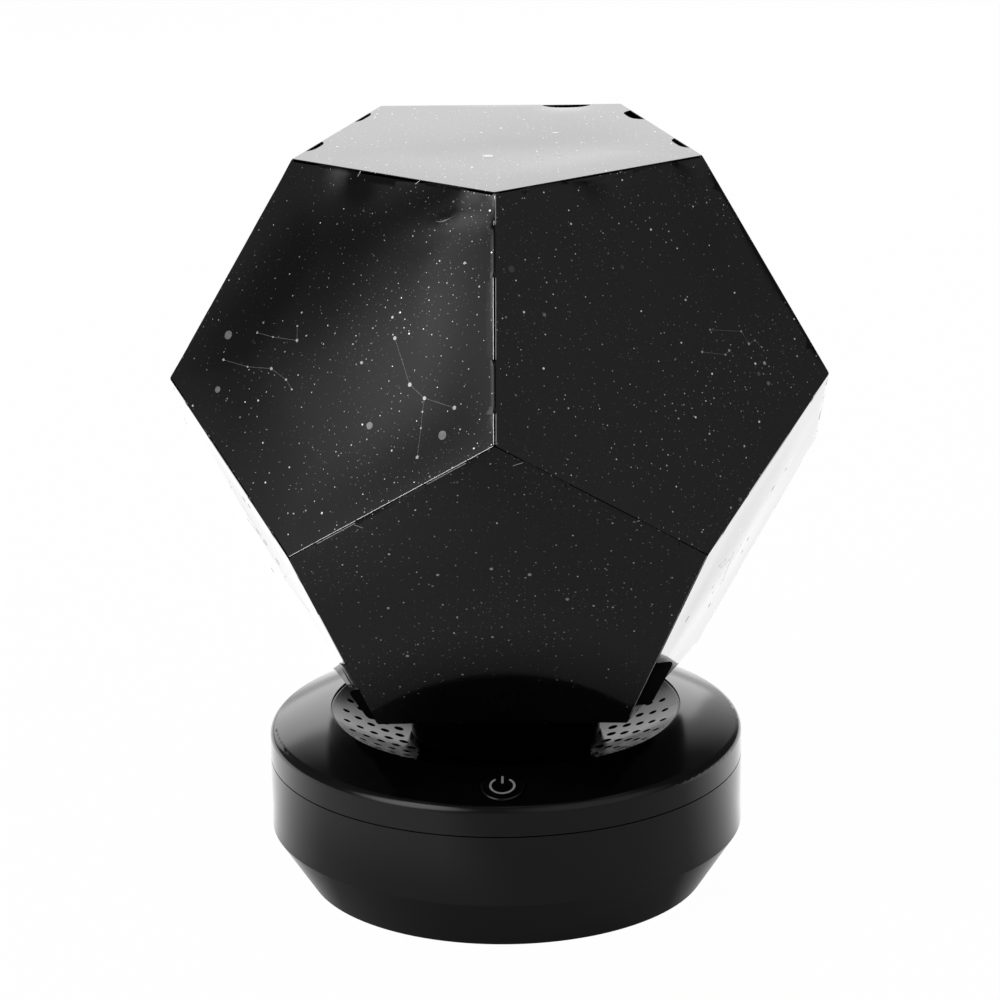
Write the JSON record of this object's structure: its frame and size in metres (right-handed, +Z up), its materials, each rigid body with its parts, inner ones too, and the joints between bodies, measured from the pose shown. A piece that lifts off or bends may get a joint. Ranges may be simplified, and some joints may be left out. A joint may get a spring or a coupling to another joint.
{
  "type": "planetarium projector",
  "caption": "Home planetarium projector: a round black base with a perforated dish and power button, and a turning twelve-sided globe of black star-pierced film",
  "frame": {"origin": "on the surface that the base stands on, below the axis of the globe", "axes": "+Z up, the power button faces -Y"},
  "size_m": [0.1596, 0.1678, 0.1908],
  "materials": {
    "base_black": "satin gloss",
    "star_film": "glossy film",
    "foot_rubber": "matte",
    "screw_steel": "zinc plated",
    "motor_steel": "drawn",
    "inner_plastic": "moulded",
    "gear_plastic": "moulded",
    "board_green": "lacquered",
    "lamp_lens": "clear",
    "symbol_grey": "printed",
    "switch_black": "moulded",
    "cell_wrap": "shrink wrap",
    "cone_paper": "pressed"
  },
  "bodies": {
    "base": {"base_lower_shell": "base_black", "base_top_shell": "base_black", "grille_dish": "base_black", "rubber_feet": "foot_rubber", "case_screws": "screw_steel", "mechanism_plate": "inner_plastic", "plate_screws": "screw_steel", "motor": "motor_steel", "motor_screws": "screw_steel", "lamp_stem": "inner_plastic", "stem_screws": "screw_steel", "thrust_washer": "gear_plastic", "lamp_board": "board_green", "lamp_led": "lamp_lens", "tact_switch": "switch_black", "switch_board": "board_green", "battery_holder": "inner_plastic", "battery_contacts": "screw_steel", "battery_cell": "cell_wrap", "main_board": "board_green", "board_screws": "screw_steel", "board_parts": "switch_black", "usb_port": "motor_steel", "speaker_basket": "motor_steel", "speaker_magnet": "motor_steel", "speaker_cone": "cone_paper"},
    "turntable": {"turntable_hub": "base_black", "turntable_gear": "gear_plastic", "globe_clamp_ring": "base_black", "clamp_screws": "screw_steel", "film_top": "star_film", "film_upper_1": "star_film", "film_upper_2": "star_film", "film_upper_3": "star_film", "film_upper_4": "star_film", "film_upper_5": "star_film", "film_lower_1": "star_film", "film_lower_2": "star_film", "film_lower_3": "star_film", "film_lower_4": "star_film", "film_lower_5": "star_film", "film_bottom": "star_film"},
    "pinion": {"motor_pinion": "gear_plastic", "motor_shaft": "motor_steel"},
    "button": {"power_button": "base_black", "button_symbol": "symbol_grey", "switch_plunger": "switch_black"}
  },
  "joints": [
    {"name": "globe_turn", "type": "hinge", "parent": "base", "child": "turntable", "pos_m": [0, 0, 0.045], "axis": [0, 0, 1], "continuous": true},
    {"name": "motor_turn", "type": "hinge", "parent": "base", "child": "pinion", "pos_m": [0.0225, 0, 0.031], "axis": [0, 0, 1], "continuous": true},
    {"name": "button_press", "type": "slide", "parent": "base", "child": "button", "axis": [0, 0.2845, -0.9587], "range_m": [0, 0.0005], "stiffness_N_per_m": 800}
  ],
  "couplings": [
    {"joint": "motor_turn", "follows": "globe_turn", "ratio": -3}
  ]
}
